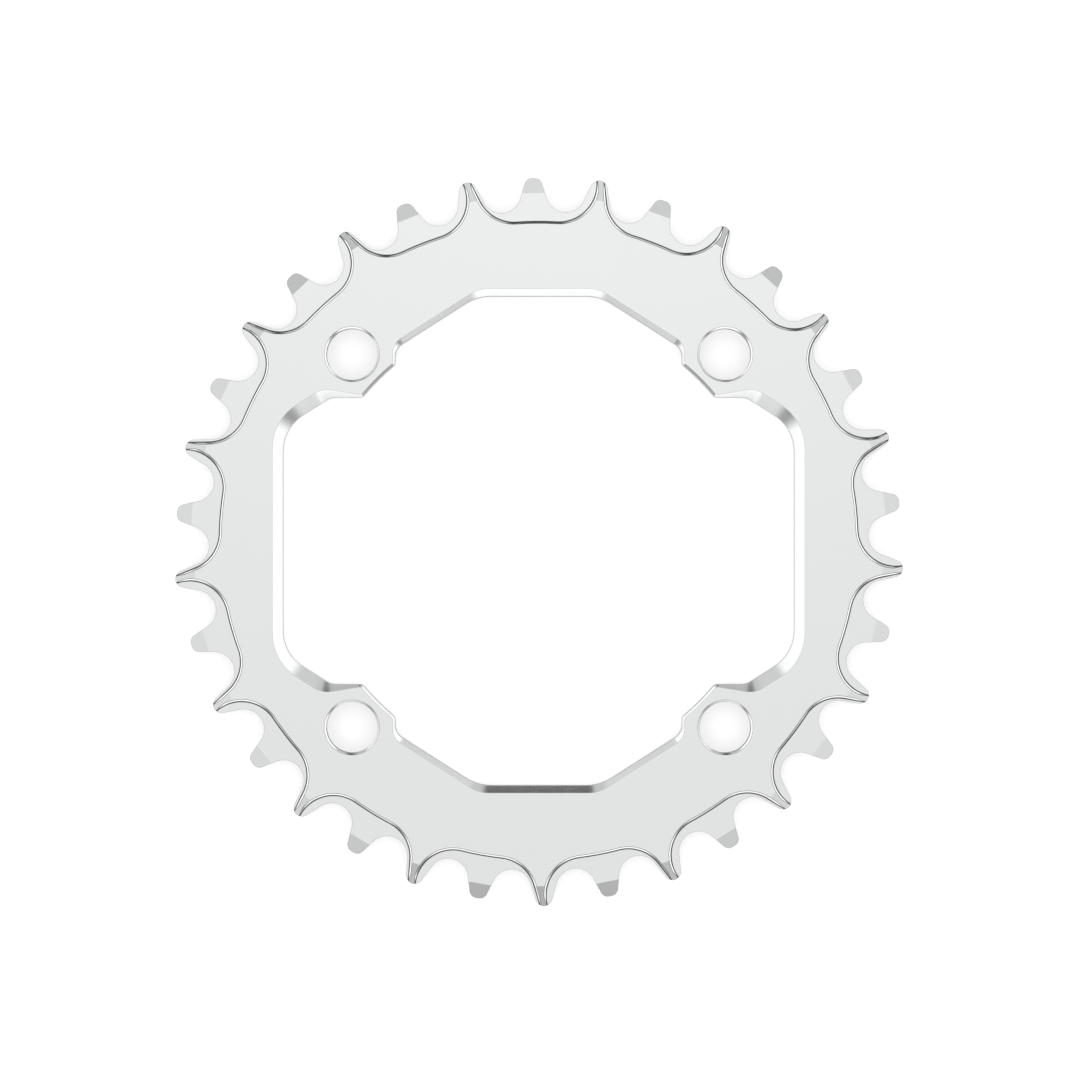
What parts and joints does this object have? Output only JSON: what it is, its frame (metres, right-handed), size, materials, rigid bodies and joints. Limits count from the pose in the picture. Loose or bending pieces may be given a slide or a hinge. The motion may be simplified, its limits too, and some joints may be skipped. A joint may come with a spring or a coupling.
{
  "type": "bicycle chainring",
  "caption": "Flat toothed aluminium ring for a bicycle crankset, with alternating narrow and wide teeth, a stepped inner window and bolt tabs on its inner edge.",
  "frame": {"origin": "centre of the bolt circle, on the centre plane of the teeth", "axes": "+Z along the ring's axis, out of its outer face; +Y up and +X right as the outer face is seen in the picture"},
  "size_m": [0.1434, 0.1435, 0.0038],
  "materials": {
    "anodised_aluminium": "silver anodised, fine satin"
  },
  "bodies": {
    "root": {"chainring": "anodised_aluminium"}
  },
  "joints": []
}
